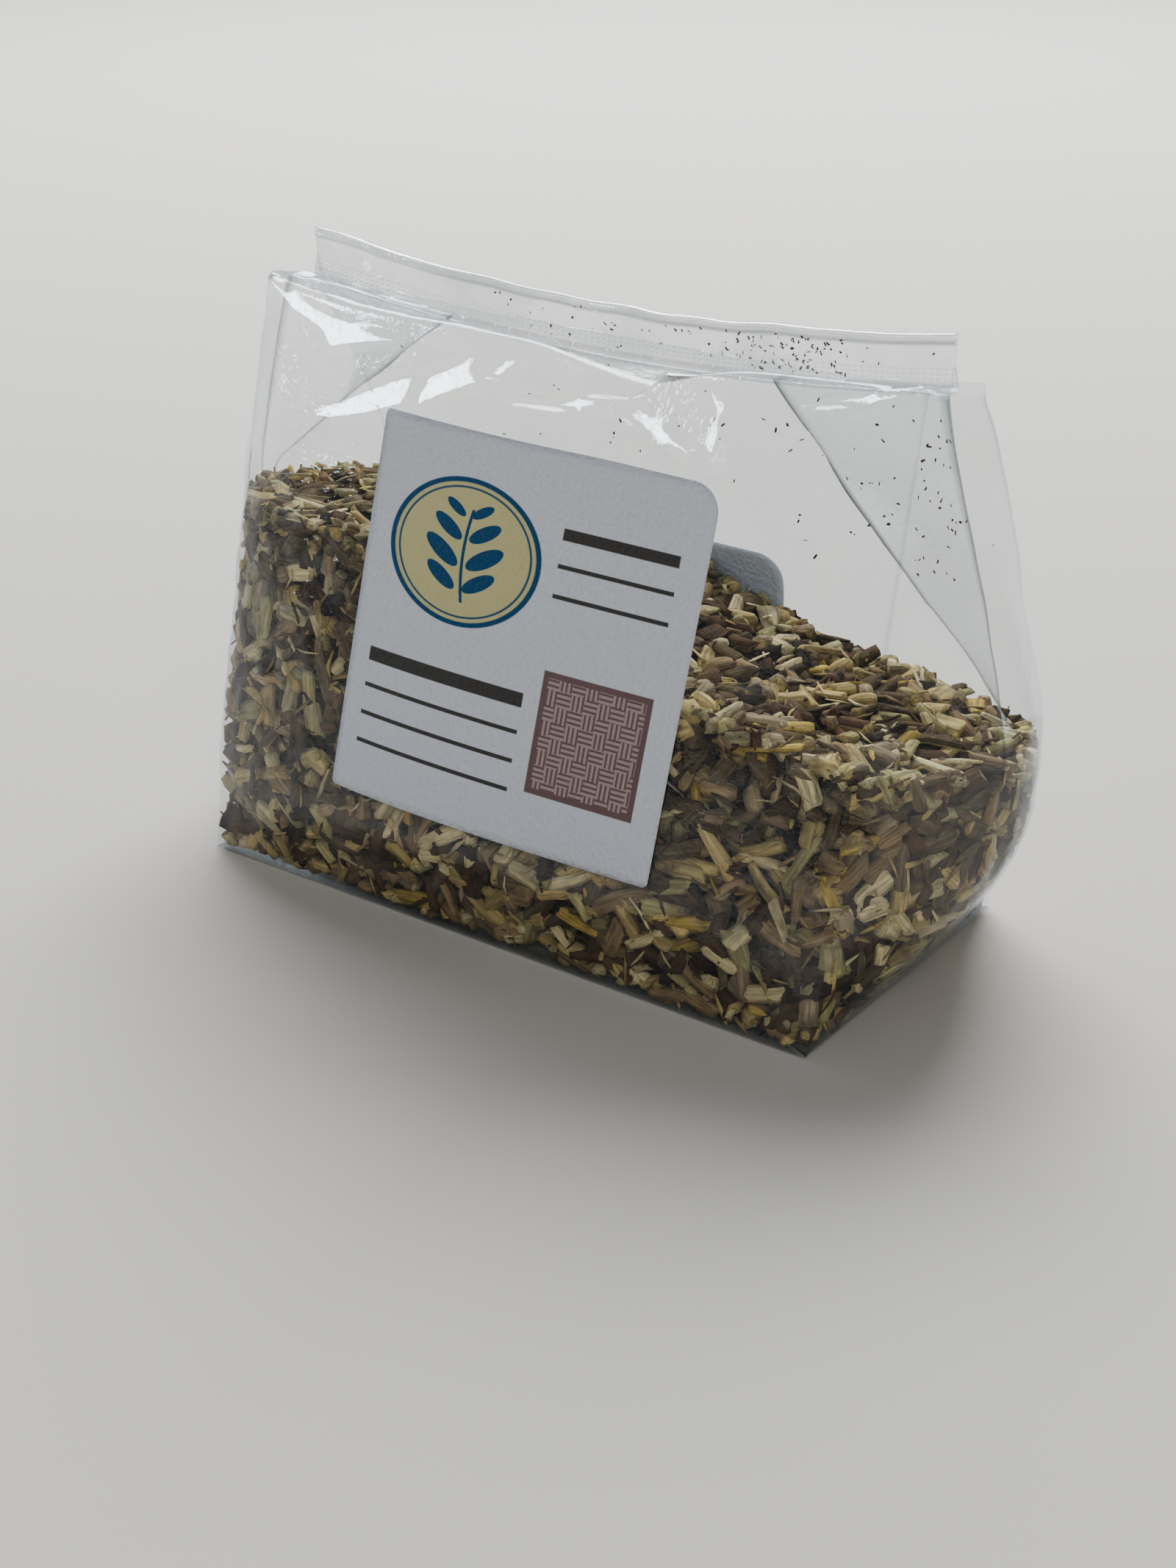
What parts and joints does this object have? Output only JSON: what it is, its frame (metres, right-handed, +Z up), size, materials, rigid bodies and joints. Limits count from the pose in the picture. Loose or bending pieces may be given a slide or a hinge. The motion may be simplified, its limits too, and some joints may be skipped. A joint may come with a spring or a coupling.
{
  "type": "bag of cut licorice root",
  "caption": "Clear gusseted film bag standing on its flat base, about half full of cut licorice root chips, with a sealed header and plain paper labels.",
  "frame": {"origin": "on the flat base, at the middle of the bag's footprint", "axes": "+X from left to right along the front panel, +Y from the front to the back, +Z up to the header"},
  "size_m": [0.126, 0.0576, 0.0862],
  "materials": {
    "film": "clear glossy plastic film, softly creased and wrinkled",
    "root": "dry split root wood, straw and cream coloured and fibrous, with dark brown bark",
    "label_paper": null
  },
  "bodies": {
    "root": {"film_bag": "film", "header_band": "film", "cut_root": "root", "front_label": "label_paper", "back_label": "label_paper"}
  },
  "joints": []
}
